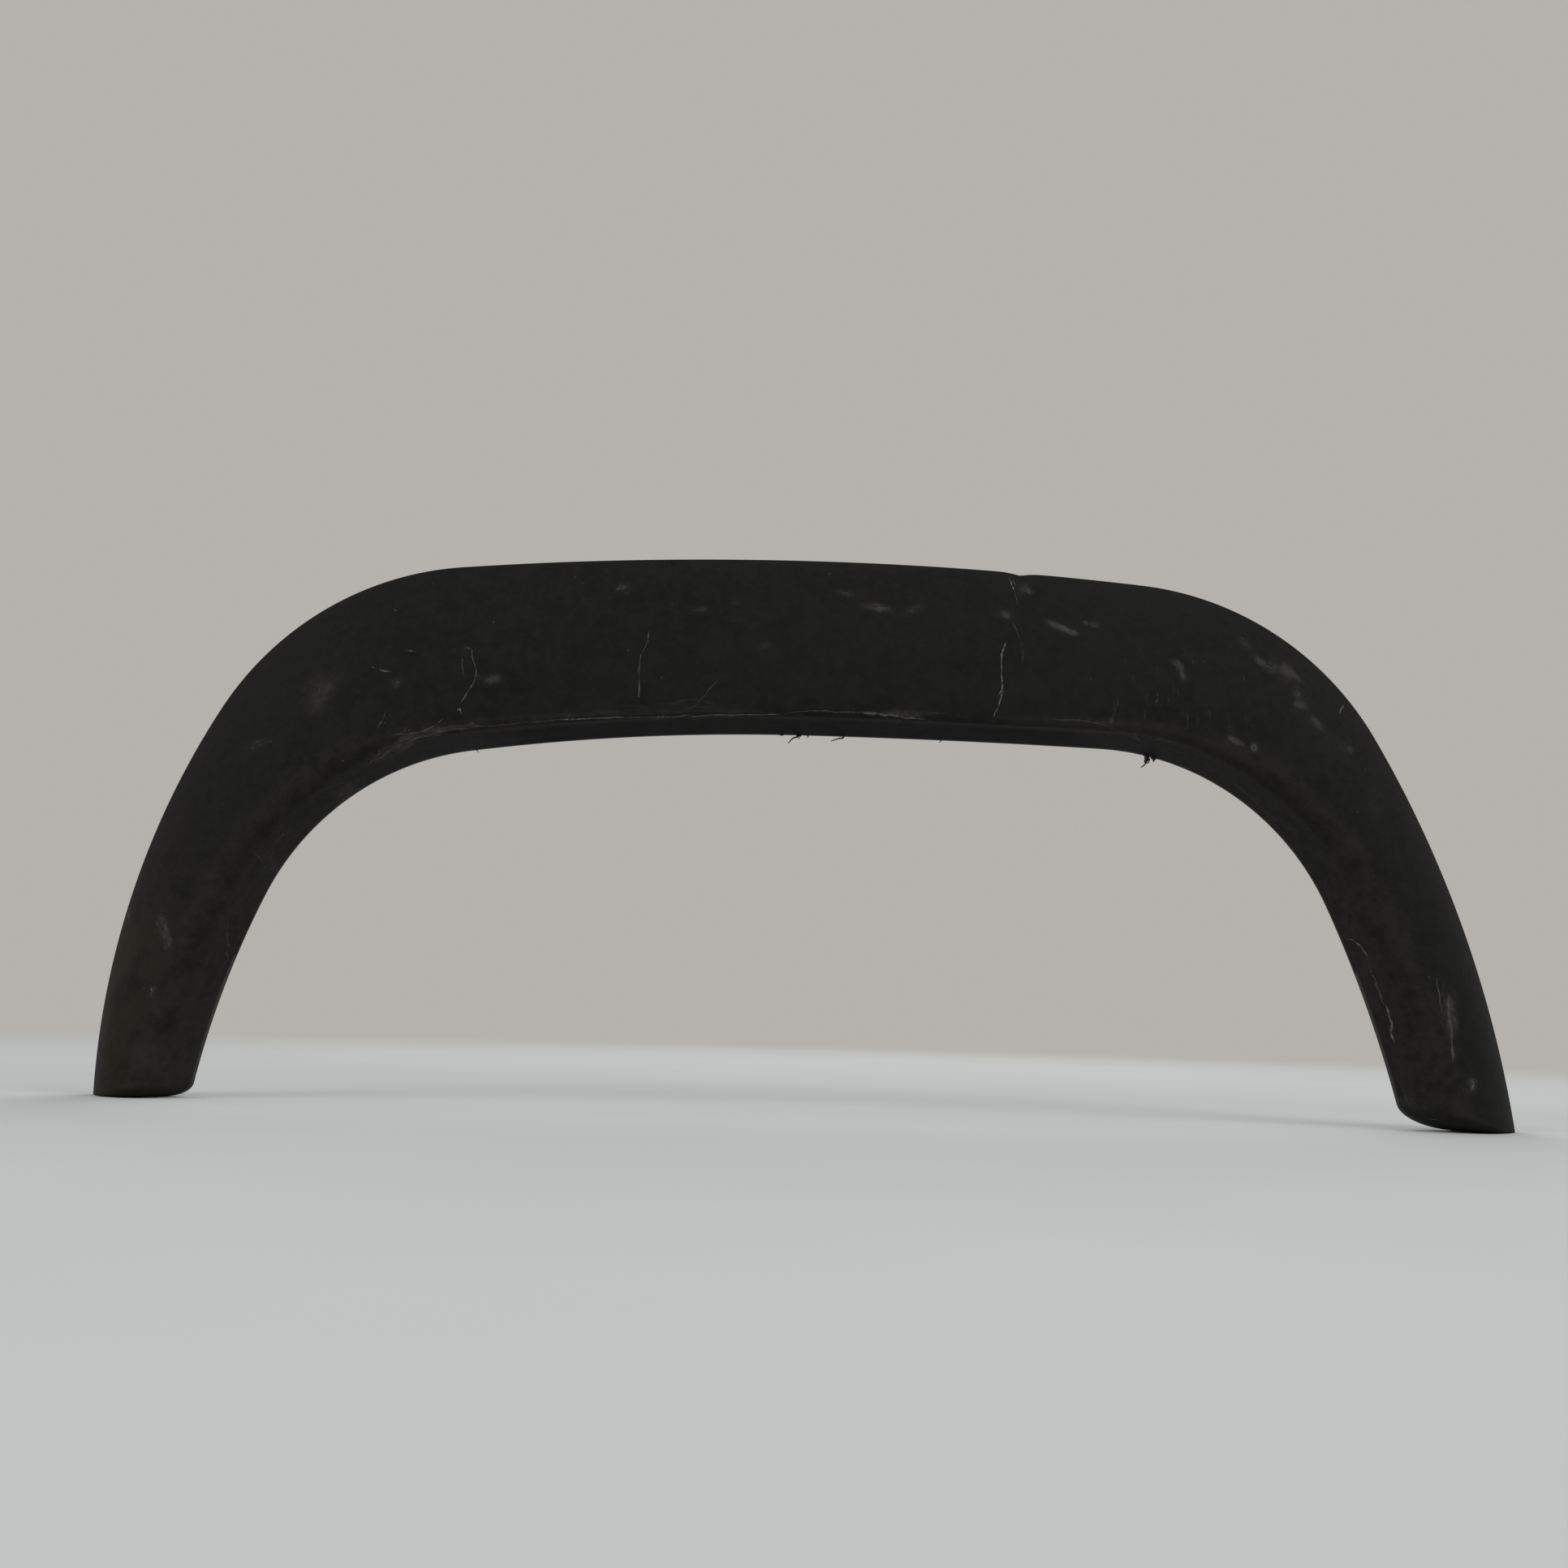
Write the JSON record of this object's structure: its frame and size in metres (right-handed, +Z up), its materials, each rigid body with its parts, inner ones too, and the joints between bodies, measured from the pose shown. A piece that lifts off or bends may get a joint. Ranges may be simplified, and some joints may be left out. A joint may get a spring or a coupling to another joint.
{
  "type": "wheel arch trim",
  "caption": "Moulded wheel arch trim: a curved strip with a convex face, a ridge and a return flange, and clip towers and locating pins behind.",
  "frame": {"origin": "axis of the crown locating pin, on the body plane that the rear rims lie in", "axes": "+X along the span towards the wider foot, +Y back into the body, +Z up; the visible face looks to -Y"},
  "size_m": [0.9471, 0.059, 0.38],
  "materials": {
    "moulding": "satin, fine grain, scuffed"
  },
  "bodies": {
    "root": {"arch_trim": "moulding"}
  },
  "joints": []
}
